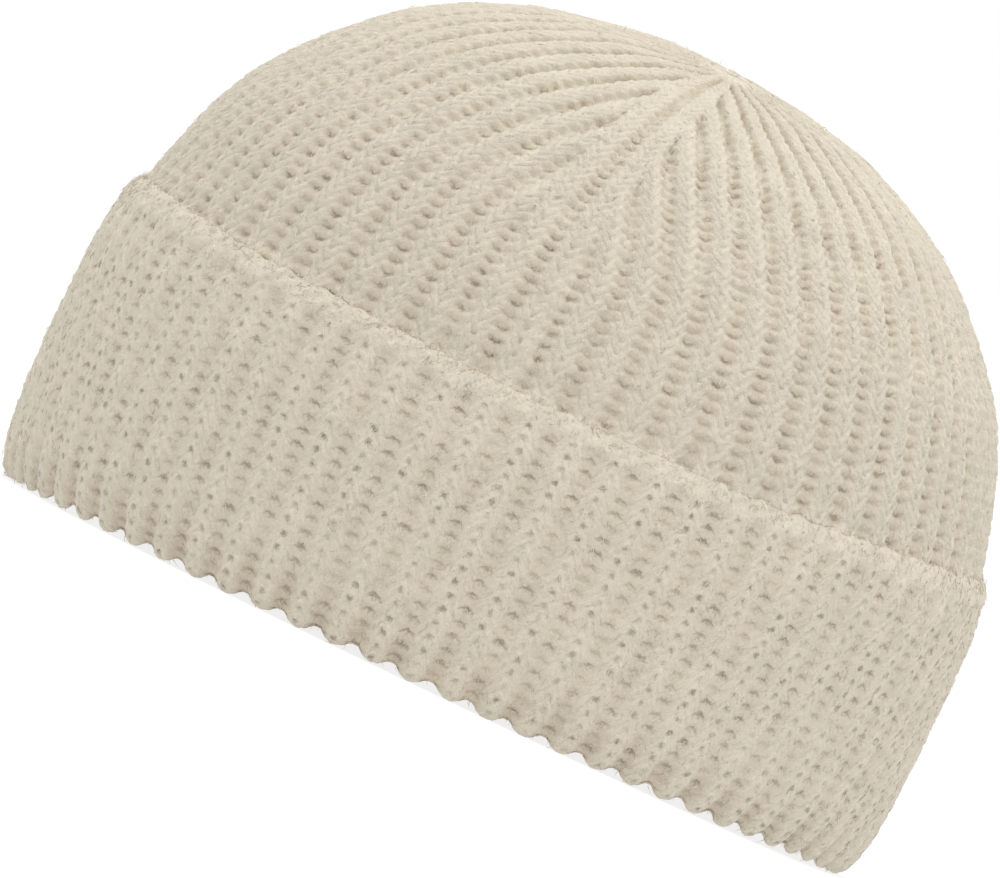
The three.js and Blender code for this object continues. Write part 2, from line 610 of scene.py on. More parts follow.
class KnitRelief:
    """Heights of rib stitches by rib number and row number, knit columns at whole numbers.

    Attributes:
        ROWS: Rows after which the unevenness repeats, more than either part has.
        shape: Shape of the stitches.
        size: Sizes of the cap.
    """

    ROWS = 97

    def __init__(self, shape: StitchShape, size: CapSize, seed: int) -> None:
        """Draws how uneven each stitch is.

        Args:
            shape: Shape of the stitches.
            size: Sizes of the cap.
            seed: Seed of chance.
        """
        self.shape = shape
        self.size = size
        chance = np.random.default_rng(seed)
        cells = (size.ribs, self.ROWS)
        self._shift = chance.uniform(-1, 1, (size.ribs, 2)) * shape.jitter
        self._sway = chance.normal(0, 1, cells)
        self._amount = chance.uniform(shape.faint, 1.0, (*cells, 2))
        self._lift = chance.normal(0, 1, cells)

    def _cell(self, column: np.ndarray, row: np.ndarray) -> tuple[np.ndarray, np.ndarray]:
        """Places of stitches in the tables of unevenness."""
        return column % self.size.ribs, np.rint(row).astype(int) % self.ROWS

    def read(self, rib: np.ndarray, row: np.ndarray, pull: Pull) -> Reading:
        """Reads the relief.

        Args:
            rib: Rib numbers, with fractions.
            row: Row numbers, with fractions.
            pull: How the knit is drawn out.

        Returns:
            What the knit is like at each of these places.
        """
        shape = self.shape
        column = np.rint(rib).astype(int)
        valley = np.floor(rib).astype(int)
        cells = self._cell(column, row)
        calm = 1 - (2 * np.abs(rib - column)) ** 2
        rib = rib + shape.sway * self._sway[cells] * calm
        side = np.abs(rib - column)
        from_valley = np.abs(rib - valley - 0.5)
        knit_row = row + self._shift[column % self.size.ribs, 0]
        wave = np.cos(math.tau * (knit_row - shape.leg_rise * shape.half_column))
        half_column = shape.half_column + pull.spread - shape.scallop * wave * pull.knit
        flank = smooth((side - half_column + shape.soft) / (2 * shape.soft))

        leg = knit_row - shape.leg_rise * side
        leg_low = 0.5 + 0.5 * np.cos(math.tau * leg)
        hole_at = knit_row - np.rint(knit_row)
        hole = hump(side, shape.dot_width) * hump(hole_at, shape.dot_length)
        hole = hole * self._amount[self._cell(column, knit_row)][..., 0]

        # The slit sags as a parabola that runs level past its ends, where it fades out
        out = from_valley / shape.slit_reach
        purl_row = row + self._shift[valley % self.size.ribs, 1] - shape.lag
        slit_row = purl_row - shape.sag * np.minimum(out**2, 1.6)
        slit_at = slit_row - np.rint(slit_row)
        slit = hump(slit_at, shape.slit_width) * smooth(1.35 - out)
        slit = slit * self._amount[self._cell(valley, slit_row)][..., 1]
        bump_low = np.abs(2 * np.abs(slit_at) - 1) ** 2.4

        knit = -pull.knit * (shape.leg * leg_low + shape.dot * hole)
        purl = -pull.purl * (shape.bump * bump_low + shape.slit * slit)
        rise = shape.ridge * pull.ridge
        rounding = shape.rounding * (side / half_column) ** 2 * rise
        height = (1 - flank) * (knit - rounding) + flank * (purl - rise)
        height = height + shape.uneven * self._lift[cells] * pull.knit * calm
        # The third share marks the valleys that the material tints with painted shade.
        shares = (pull.knit, pull.purl, pull.ridge * flank)
        detail = np.stack([share + 0 * rib for share in shares], axis=-1)
        stitch = np.stack([rib, knit_row, slit_row], axis=-1)
        return Reading(height, stitch, self._strand(rib, side, row), detail)

    def _strand(self, rib: np.ndarray, side: np.ndarray, row: np.ndarray) -> np.ndarray:
        """Places along and across the legs of the Vs, mirrored and unbroken across each rib.

        Args:
            rib: Rib numbers, with fractions.
            side: Ribs from the middle of the nearest column.
            row: Row numbers, with fractions.

        Returns:
            Place along the yarn, across it and round the cap, in millimetres.
        """
        pitch, row_long = self.size.pitch / MM, self.size.row / MM
        wide, long = side * pitch, row * row_long
        rise = unit(np.array([pitch, self.shape.leg_rise * row_long]))
        along = wide * rise[0] + long * rise[1]
        across = long * rise[0] - wide * rise[1]
        return np.stack([along, across, rib * pitch], axis=-1)


@dataclass
class Grid:
    """Rows of points over one face of a piece.

    Attributes:
        points: Places, rings by columns by 3.
        reading: The knit at each point.
        fluff: How much of the fuzz each ring takes.
        tone: How much lighter the yarn is at each point.
    """

    points: np.ndarray
    reading: Reading
    fluff: np.ndarray
    tone: np.ndarray


def zipper(one: np.ndarray, two: np.ndarray, points: np.ndarray) -> list[tuple[int, ...]]:
    """Joins two rows of corners that start and end side by side.

    Args:
        one: Corner numbers of the first row.
        two: Corner numbers of the second row.
        points: Places of all corners.

    Returns:
        Corner numbers of the triangles between the rows.
    """
    shares = []
    for row in (one, two):
        steps = np.linalg.norm(np.diff(points[row], axis=0), axis=1)
        along = np.concatenate([[0], np.cumsum(steps)])
        shares.append(along / max(along[-1], 1e-9))
    faces = []
    i = j = 0
    while i < len(one) - 1 or j < len(two) - 1:
        first = i < len(one) - 1 and (
            j == len(two) - 1 or shares[0][i + 1] <= shares[1][j + 1]
        )
        if first:
            face = (one[i], one[i + 1], two[j])
            i += 1
        else:
            face = (one[i], two[j + 1], two[j])
            j += 1
        if len(set(face)) == 3:
            faces.append(tuple(int(c) for c in face))
    return faces


# A last ring smaller than this is one corner, the pole
POLE_SIZE = 1e-7


@dataclass
class Shell:
    """A closed piece of knit between a finely made face and a plainer back.

    Attributes:
        name: Name of the piece.
        face: Grid of the side that is seen.
        back: Grid of the other side, running the same way.
    """

    name: str
    face: Grid
    back: Grid

    def build(self) -> bpy.types.Object:
        """Makes the piece, face first, then back and edges.

        Returns:
            The mesh object.
        """
        spots, numbers, start = [], [], 0
        for grid in (self.face, self.back):
            rings, columns = grid.points.shape[:2]
            number = start + np.arange(rings * columns).reshape(rings, columns)
            if np.ptp(grid.points[-1], axis=0).max() < POLE_SIZE:
                number[-1] = number[-1, 0]
            numbers.append(number)
            spots.append(grid.points.reshape(-1, 3))
            start += rings * columns
        points = np.vstack(spots)
        face, back = numbers
        quads = np.vstack([self._quads(face), self._quads(back)[:, ::-1]])
        edges = [
            *zipper(face[:, 0], back[:, 0], points),
            *zipper(back[:, -1], face[:, -1], points),
            *zipper(back[0], face[0], points),
            *zipper(face[-1], back[-1], points),
        ]
        return show(self.name, self._mesh(points, quads, edges))

    @property
    def face_quads(self) -> int:
        """Number of cells on the face."""
        rings, columns = self.face.points.shape[:2]
        return (rings - 1) * (columns - 1)

    @staticmethod
    def _quads(number: np.ndarray) -> np.ndarray:
        """Corner numbers of the cells between the rings and columns of a grid."""
        corners = [number[:-1, :-1], number[:-1, 1:], number[1:, 1:], number[1:, :-1]]
        return np.stack(corners, axis=-1).reshape(-1, 4)

    def _mesh(
        self, points: np.ndarray, quads: np.ndarray, edges: list[tuple[int, ...]]
    ) -> bpy.types.Mesh:
        """Makes the mesh with its attributes, cells at the pole as triangles.

        Args:
            points: Places of all corners.
            quads: Corner numbers of the cells of the face and the back.
            edges: Corner numbers of the triangles that close the piece.

        Returns:
            The mesh, smooth on its face and back.
        """
        pinched = quads[:, 2] == quads[:, 3]
        reverse = quads[:, 1] == quads[:, 0]
        cells = [tuple(quad) for quad in quads.tolist()]
        for k in np.flatnonzero(pinched):
            cells[k] = (cells[k][0], cells[k][1], cells[k][2])
        for k in np.flatnonzero(reverse):
            cells[k] = (cells[k][0], cells[k][2], cells[k][3])
        cells += edges
        flat = np.fromiter(chain.from_iterable(cells), dtype=np.int64)
        used, packed = np.unique(flat, return_inverse=True)
        sides = np.array([len(c) for c in cells])
        mesh = bpy.data.meshes.new(self.name)
        mesh.vertices.add(len(used))
        mesh.vertices.foreach_set("co", points[used].astype(np.float32).ravel())
        mesh.loops.add(len(packed))
        mesh.loops.foreach_set("vertex_index", packed.astype(np.int32))
        mesh.polygons.add(len(sides))
        starts = np.concatenate([[0], np.cumsum(sides)[:-1]]).astype(np.int32)
        mesh.polygons.foreach_set("loop_start", starts)
        soft = np.arange(len(sides)) < len(quads)
        mesh.polygons.foreach_set("use_smooth", soft)
        mesh.update(calc_edges=True)
        readings = (self.face.reading, self.back.reading)
        for name in ("strand", "stitch", "detail"):
            values = [getattr(reading, name).reshape(-1, 3) for reading in readings]
            give(mesh, name, np.vstack(values)[used])
        tones = (self.face.tone, self.back.tone)
        give(mesh, "tone", np.concatenate([tone.ravel() for tone in tones])[used])
        return mesh


def show(name: str, data: bpy.types.ID) -> bpy.types.Object:
    """Puts a mesh, a lamp or a camera into the scene.

    Args:
        name: Name of the object.
        data: What it shows.

    Returns:
        The object, at the origin.
    """
    thing = bpy.data.objects.new(name, data)
    bpy.context.scene.collection.objects.link(thing)
    return thing


def give(mesh: bpy.types.Mesh, name: str, values: np.ndarray) -> None:
    """Stores a number or a vector at every corner of a mesh.

    Args:
        mesh: The mesh.
        name: Name of the attribute.
        values: One number or one row of three for each corner.
    """
    if values.ndim == 2:
        layer = mesh.attributes.new(name, "FLOAT_VECTOR", "POINT")
        layer.data.foreach_set("vector", values.astype(np.float32).ravel())
    else:
        layer = mesh.attributes.new(name, "FLOAT", "POINT")
        layer.data.foreach_set("value", values.astype(np.float32))


def triangles(thing: bpy.types.Object) -> int:
    """Number of triangles a mesh object makes."""
    return sum(len(face.vertices) - 2 for face in thing.data.polygons)


def dome_points(size: CapSize) -> list[tuple[float, float]]:
    """Radius and height of points up the outside of the dome."""
    rise = size.height - size.dome_start
    return [(reach * size.band_radius, size.dome_start + up * rise) for up, reach in DOME_ROWS]


def offset_points(
    points: list[tuple[float, float]], distance: float
) -> list[tuple[float, float]]:
    """Moves the outline of a dome inwards.

    Args:
        points: Radius and height of each point, from the foot to the top.
        distance: How far each point moves.

    Returns:
        Radius and height of each moved point.
    """
    line = np.array(points)
    slope = np.gradient(line, axis=0)
    slope[-1] = (-1.0, 0.0)
    normal = unit(np.stack([slope[:, 1], -slope[:, 0]], axis=1))
    moved = line - normal * distance
    moved[:, 0] = np.maximum(moved[:, 0], 0)
    return [tuple(row) for row in moved]


def cuff_points(size: CapSize) -> list[tuple[float, float]]:
    """Radius and height of points over the face of the cuff."""
    return [
        (size.cuff_radius - share * size.wall, rise * size.cuff_height)
        for share, rise in CUFF_ROWS
    ]


@dataclass
class Faces:
    """The smooth faces of the knit.

    Attributes:
        size: Sizes of the cap.
        layout: Numbers of the ribs.
        foot_share: Height of the band's lower edge, as a share of the cuff height.
        band_steps: Heights of points up the band, as shares of the way to the dome.
        back_steps: Heights of points down the back of the cuff, as shares of its height.
        back_gap: From the back of the knit of the cuff to the face behind it.
        toe: Last points of the back of the cuff: moved in, and height as a share.
        fold_inset: How far the end of the back lies out from and under the fold's end.
    """

    size: CapSize = SIZE
    layout: GoreLayout = GoreLayout()
    foot_share: float = 0.125
    band_steps: tuple[float, ...] = (0, 0.3, 0.6, 0.9)
    back_steps: tuple[float, ...] = (0.94, 0.7, 0.4, 0.15, 0.1)
    back_gap: float = 0.1 * MM
    toe: tuple[float, float] = (1.3 * MM, 0.075)
    fold_inset: tuple[float, float] = (0.4 * MM, 0.6 * MM)

    @property
    def foot(self) -> float:
        """Height of the lower edge of the band inside the cuff."""
        return self.foot_share * self.size.cuff_height

    def cuff_top(self, bearing: np.ndarray) -> np.ndarray:
        """Height of the top edge of the cuff, which dips at the front and back."""
        return self.size.cuff_height - self.size.cuff_dip * np.sin(bearing) ** 2

    def crown(self) -> KnitSurface:
        """Outside of the band and the dome, from above the fold up to the top."""
        outline = Profile([*self._band(self.size.band_radius), *dome_points(self.size)])
        return KnitSurface(outline, self.size, slides=True)

    def inside(self) -> KnitSurface:
        """Inside of the band and the dome, from above the fold up to the top.

        Returns:
            The surface, whose outside is the hollow for the head.
        """
        size = self.size
        radius = size.band_radius - size.wall
        dome = offset_points(dome_points(size), size.wall)
        outline = Profile([*self._band(radius), *dome], Outside.LEFT)
        return KnitSurface(outline, size, slides=True, base=radius)

    def cuff(self) -> KnitSurface:
        """Face of the cuff, over its top edge, down and round the fold."""
        outline = Profile(cuff_points(self.size), Outside.LEFT)
        return KnitSurface(outline, self.size, dips=True)

    def behind_cuff(self) -> KnitSurface:
        """Back of the cuff against the band, from its top edge down to the fold.

        Returns:
            The surface, whose outside faces the band.
        """
        size = self.size
        radius = size.cuff_radius - size.wall + self.back_gap
        fold_radius, fold_height = cuff_points(size)[-1]
        moved, toe_share = self.toe
        aside, under = self.fold_inset
        points = [(radius, size.cuff_height * share) for share in self.back_steps]
        points.append((radius - moved, toe_share * size.cuff_height))
        points.append((fold_radius + aside, fold_height - under))
        return KnitSurface(Profile(points), size, dips=True)

    def _band(self, radius: float) -> list[tuple[float, float]]:
        """Radius and height of points up the band, below the dome."""
        rise = self.size.dome_start - self.foot
        return [(radius, self.foot + rise * share) for share in self.band_steps]


# Slow bulges of the knit: waves round the cap, turn per metre along it, share of the height
BULGES = ((3, 20, 1.0), (5, -45, 1.0), (9, 90, 0.7), (2, 150, 0.6))


class Swell:
    """Slow bulges of a soft face."""

    def __init__(self, seed: int, height: float = 0.32) -> None:
        """Draws the phases of the bulges; height is in millimetres."""
        self.height = height
        self._phase = np.random.default_rng(seed).uniform(0, math.tau, len(BULGES))

    def at(self, bearing: np.ndarray, along: np.ndarray) -> np.ndarray:
        """Reads the bulges.

        Args:
            bearing: Bearings of the points, in radians.
            along: Lengths along the outline.

        Returns:
            Lift in millimetres.
        """
        waves = [
            share * np.sin(round_it * bearing + phase + along_it * along)
            for (round_it, along_it, share), phase in zip(BULGES, self._phase)
        ]
        return sum(waves) * self.height / 2


@dataclass(frozen=True)
class Wire:
    """A number in a material, whose sums add the nodes they need.

    Attributes:
        tree: Nodes of the material.
        socket: Output that carries the number.
    """

    tree: bpy.types.NodeTree
    socket: bpy.types.NodeSocket

    def sum(self, operation: str, *others: "Wire | float") -> "Wire":
        """Adds a math node that reads this number and the others.

        Args:
            operation: What the node does.
            others: Further numbers, from other nodes or plain.

        Returns:
            The result of the node.
        """
        node = self.tree.nodes.new("ShaderNodeMath")
        node.operation = operation
        for place, value in enumerate((self, *others)):
            if isinstance(value, Wire):
                self.tree.links.new(value.socket, node.inputs[place])
            else:
                node.inputs[place].default_value = value
        return Wire(self.tree, node.outputs["Value"])

    def __add__(self, other: "Wire | float") -> "Wire":
        """Sum of two numbers."""
        return self.sum("ADD", other)

    def __sub__(self, other: "Wire | float") -> "Wire":
        """Difference of two numbers."""
        return self.sum("SUBTRACT", other)

    def __mul__(self, other: "Wire | float") -> "Wire":
        """Product of two numbers."""
        return self.sum("MULTIPLY", other)

    def nearest(self) -> "Wire":
        """The nearest whole number."""
        return self.sum("ROUND")

    def size(self) -> "Wire":
        """The number without its sign."""
        return self.sum("ABSOLUTE")

    def hump(self, width: float) -> "Wire":
        """A bell curve, 1 at zero."""
        scaled = self * (1 / width)
        return (scaled * scaled * -1.0).sum("EXPONENT")

    def ease(self, low: float, high: float) -> "Wire":
        """Eases from 0 to 1 as the number goes from low to high.

        Args:
            low: The number that gives 0.
            high: The number that gives 1, which may be the smaller one.

        Returns:
            The eased number.
        """
        node = self.tree.nodes.new("ShaderNodeMapRange")
        node.interpolation_type = "SMOOTHSTEP"
        node.inputs["From Min"].default_value = low
        node.inputs["From Max"].default_value = high
        self.tree.links.new(self.socket, node.inputs["Value"])
        return Wire(self.tree, node.outputs["Result"])


@dataclass(frozen=True)
class YarnFinish:
    """Soft cream yarn with a felted, fuzzy face, painted shade in its holes, slits and valleys
    and a painted highlight on its wisps.

    Attributes:
        name: Name of the material.
        shape: Stitches whose holes are drawn.
        valley_shade_share: How much of the painted shade of the valleys shows in them.
        colour: Linear base colour.
        valley_shade_colour: Linear colour of the painted shade in the valleys.
        pit_shade_colour: Linear colour of the painted shade deep between the stitches.
        pit_shade_share: How much of the painted shade of the pits shows in them.
        sheen: Strength of the fuzz seen at a slant.
        plain: Brightness of the yarn with nothing laid on it.
        streak_light: How much the fine streaks brighten.
        wisp_highlight: How much the painted highlight on the thin wisps brightens them.
        tone_light: How much the tone of the mesh brightens.
        clump_light: How much the soft clumps brighten.
        patch_light: How much the wide patches brighten.
        gap_shade: How much painted shade darkens the gaps between the legs.
        fibre: Height of the fine streaks, in millimetres.
        clump: Height of the soft clumps, in millimetres.
        wisp: Height of the wisps, in millimetres.
        groove: Depth of the holes and of the gaps between the legs, in millimetres.
    """

    name: str
    shape: StitchShape
    valley_shade_share: float
    colour: tuple[float, float, float] = (0.62, 0.563, 0.461)
    valley_shade_colour: tuple[float, float, float] = (0.87, 0.84, 0.805)
    pit_shade_colour: tuple[float, float, float] = (0.2, 0.155, 0.1)
    pit_shade_share: float = 0.74
    sheen: float = 0.2
    plain: float = 0.78
    streak_light: float = 0.08
    wisp_highlight: float = 0.09
    tone_light: float = 0.42
    clump_light: float = 0.14
    patch_light: float = 0.16
    gap_shade: float = 0.1
    fibre: float = 0.07
    clump: float = 0.35
    wisp: float = 0.06
    groove: float = 0.3

    def build(self) -> bpy.types.Material:
        """Makes the material with fibres that run along the yarn.

        Returns:
            The material.
        """
        material = bpy.data.materials.new(self.name)
        material.use_nodes = True
        tree = material.node_tree
        shader = tree.nodes["Principled BSDF"]
        shader.inputs["Roughness"].default_value = 0.92
        shader.inputs["Specular IOR Level"].default_value = 0.12
        shader.inputs["Sheen Weight"].default_value = self.sheen
        shader.inputs["Sheen Roughness"].default_value = 0.6
        shader.inputs["Sheen Tint"].default_value = (1.0, 0.97, 0.9, 1.0)
        strand = self._attribute(tree, "strand").outputs["Vector"]
        place = self._place(tree)
        knit, purl, valley = self._apart(tree, "detail")
        tone = Wire(tree, self._attribute(tree, "tone").outputs["Fac"])
        laid = self._noise(tree, strand, (0.35, 1.15, 0.3), distortion=1.2)
        loose = self._noise(tree, place, 0.7, distortion=1.6)
        streaks = loose + (laid - loose) * knit * 0.6
        wisps = (streaks * 2.0 - 1.0).size().ease(0.16, 0.0)
        clumps = self._noise(tree, place, 0.5)
        patches = self._noise(tree, place, 0.17, detail=1.0)
        pit, leg_gap = self._pits(tree, place, knit, purl)
        # The wisps are brightened as a painted highlight.
        bright = streaks * self.streak_light + wisps * self.wisp_highlight
        bright = bright + tone * self.tone_light + clumps * self.clump_light
        bright = bright + patches * self.patch_light + self.plain
        # Painted shade in the gaps between the legs of the Vs.
        bright = bright - leg_gap * self.gap_shade
        paint = self._mix(tree, "MULTIPLY", self.colour)
        tree.links.new(bright.socket, paint.inputs["B"])
        # Painted shade: the valleys between the columns are tinted darker and browner.
        shade = self._mix(tree, "MULTIPLY", self.valley_shade_colour)
        tree.links.new((valley * self.valley_shade_share).socket, shade.inputs["Factor"])
        tree.links.new(paint.outputs["Result"], shade.inputs["A"])
        # Painted shade: the holes and slits are mixed towards a dark brown.
        deep = self._mix(tree, "MIX", self.pit_shade_colour)
        tree.links.new((pit * self.pit_shade_share).socket, deep.inputs["Factor"])
        tree.links.new(shade.outputs["Result"], deep.inputs["A"])
        tree.links.new(deep.outputs["Result"], shader.inputs["Base Color"])
        height = streaks * self.fibre + clumps * self.clump + wisps * self.wisp
        height = height - pit * self.groove - leg_gap * self.groove
        bump = tree.nodes.new("ShaderNodeBump")
        bump.inputs["Strength"].default_value = 1.0
        bump.inputs["Distance"].default_value = MM
        tree.links.new(height.socket, bump.inputs["Height"])
        tree.links.new(bump.outputs["Normal"], shader.inputs["Normal"])
        return material

    def _apart(self, tree: bpy.types.NodeTree, name: str) -> list[Wire]:
        """Splits a vector attribute of the mesh.

        Args:
            tree: Nodes of the material.
            name: Name of the attribute.

        Returns:
            Its three numbers.
        """
        apart = tree.nodes.new("ShaderNodeSeparateXYZ")
        tree.links.new(self._attribute(tree, name).outputs["Vector"], apart.inputs[0])
        return [Wire(tree, apart.outputs[axis]) for axis in "XYZ"]

    @staticmethod
    def _place(tree: bpy.types.NodeTree) -> bpy.types.NodeSocket:
        """Adds the place on the object.

        Args:
            tree: Nodes of the material.

        Returns:
            Output that carries the place, in millimetres.
        """
        source = tree.nodes.new("ShaderNodeTexCoord")
        scale = tree.nodes.new("ShaderNodeMapping")
        scale.inputs["Scale"].default_value = (1 / MM, 1 / MM, 1 / MM)
        tree.links.new(source.outputs["Object"], scale.inputs["Vector"])
        return scale.outputs["Vector"]

    def _pits(
        self, tree: bpy.types.NodeTree, place: bpy.types.NodeSocket, knit: Wire, purl: Wire
    ) -> tuple[Wire, Wire]:
        """Draws the holes and slits, and the gaps between the legs, as masks for painted shade
        and for dents in the bump.

        Args:
            tree: Nodes of the material.
            place: Place on the object.
            knit: Share of the relief of the knit stitches.
            purl: Share of the relief of the purl stitches.

        Returns:
            How much of a pit there is, and how much of a gap between legs.
        """
        shape = self.shape
        rib, knit_row, slit_row = self._apart(tree, "stitch")
        warp = self._noise(tree, place, 1.0) - 0.5
        weft = self._noise(tree, place, 1.2) - 0.5
        rib = rib + warp * 0.2
        side = (rib - rib.nearest()).size()
        from_valley = side * -1.0 + 0.5
        holes = knit_row + weft * 0.6
        slits = slit_row + weft * 0.6
        hole = side.hump(0.065) * (holes - holes.nearest()).hump(0.17) * knit
        slit = (slits - slits.nearest()).hump(shape.slit_width)
        wing = from_valley.ease(shape.slit_reach * 1.3, shape.slit_reach * 0.5) * 0.5
        slit = slit * (from_valley.hump(0.5 * shape.slit_reach) * 0.5 + wing)
        down = slit_row - slit_row.nearest()
        stem = from_valley.hump(0.035) * down.ease(-0.04, 0.04) * down.ease(0.42, 0.3)
        slit = slit.sum("MAXIMUM", stem * shape.stem) * purl
        valley = rib.sum("FLOOR")
        hole = hole * self._chance(tree, rib.nearest(), holes.nearest())
        slit = slit * self._chance(tree, valley, slits.nearest())
        leg = knit_row + weft * 0.5 - side * shape.leg_rise
        leg_gap = (leg - leg.nearest()).hump(0.2) * side.ease(0.38, 0.24) * shape.ink
        return (hole * shape.eye).sum("MAXIMUM", slit), leg_gap * knit

    def _chance(self, tree: bpy.types.NodeTree, column: Wire, row: Wire) -> Wire:
        """Draws how deep the hole or slit of each stitch is.

        Args:
            tree: Nodes of the material.
            column: Whole number of the rib.
            row: Whole number of the row.

        Returns:
            Share of the depth, up to 1.
        """
        join = tree.nodes.new("ShaderNodeCombineXYZ")
        round_the_cap = column.sum("FLOORED_MODULO", float(SIZE.ribs))
        tree.links.new(round_the_cap.socket, join.inputs["X"])
        tree.links.new(row.socket, join.inputs["Y"])
        noise = tree.nodes.new("ShaderNodeTexWhiteNoise")
        noise.noise_dimensions = "2D"
        tree.links.new(join.outputs["Vector"], noise.inputs["Vector"])
        faint = self.shape.faint
        return Wire(tree, noise.outputs["Value"]) * (1 - faint) + faint

    @staticmethod
    def _attribute(tree: bpy.types.NodeTree, name: str) -> bpy.types.Node:
        """Adds a node that reads an attribute of the mesh.

        Args:
            tree: Nodes of the material.
            name: Name of the attribute.

        Returns:
            The node.
        """
        node = tree.nodes.new("ShaderNodeAttribute")
        node.attribute_name = name
        return node

    @staticmethod
    def _mix(
        tree: bpy.types.NodeTree, blend: str, colour: tuple[float, float, float]
    ) -> bpy.types.Node:
        """Adds a node that mixes colours.

        Args:
            tree: Nodes of the material.
            blend: How it mixes them.
            colour: Linear colour of both inputs, one of which the caller links over.

        Returns:
            The node.
        """
        node = tree.nodes.new("ShaderNodeMix")
        node.data_type = "RGBA"
        node.blend_type = blend
        node.inputs["Factor"].default_value = 1.0
        node.inputs["A"].default_value = (*colour, 1.0)
        node.inputs["B"].default_value = (*colour, 1.0)
        return node

    @staticmethod
    def _noise(
        tree: bpy.types.NodeTree,
        source: bpy.types.NodeSocket,
        scale: float | tuple[float, float, float],
        detail: float = 2.0,
        distortion: float = 0.0,
    ) -> Wire:
        """Adds a noise texture.

        Args:
            tree: Nodes of the material.
            source: Output that carries the place, in millimetres.
            scale: Waves per millimetre, the same every way or one for each axis.
            detail: Number of finer waves laid over the first.
            distortion: How far the waves are bent.

        Returns:
            The noise, 0 to 1.
        """
        stretch = tree.nodes.new("ShaderNodeMapping")
        stretch.inputs["Scale"].default_value = (
            scale if isinstance(scale, tuple) else (scale,) * 3
        )
        tree.links.new(source, stretch.inputs["Vector"])
        noise = tree.nodes.new("ShaderNodeTexNoise")
        noise.inputs["Scale"].default_value = 1.0
        noise.inputs["Detail"].default_value = detail
        noise.inputs["Distortion"].default_value = distortion
        tree.links.new(stretch.outputs["Vector"], noise.inputs["Vector"])
        return Wire(tree, noise.outputs["Fac"])


@dataclass(frozen=True)
class PaleFinish:
    """Plain near-white finish of the floor.

    Attributes:
        name: Name of the material.
        lightness: Share of the light that it throws back.
        glow: Light of its own, so that it shows white.
    """

    name: str = "pale_floor"
    lightness: float = 0.2
    glow: float = 0.82

    def build(self) -> bpy.types.Material:
        """Makes the material.

        Returns:
            The material.
        """
        material = bpy.data.materials.new(self.name)
        material.use_nodes = True
        shader = material.node_tree.nodes["Principled BSDF"]
        shader.inputs["Base Color"].default_value = (*[self.lightness] * 3, 1.0)
        shader.inputs["Roughness"].default_value = 1.0
        shader.inputs["Specular IOR Level"].default_value = 0.0
        shader.inputs["Emission Color"].default_value = (1.0, 1.0, 1.0, 1.0)
        shader.inputs["Emission Strength"].default_value = self.glow
        return material


# A place inside the cap that its outside faces away from
BODY = np.array([0.0, 0.0, 35 * MM])

# Corners of the four sides of a fibre, its tip first
SPIKE = ((0, 1, 2), (0, 2, 3), (0, 3, 1), (1, 3, 2))


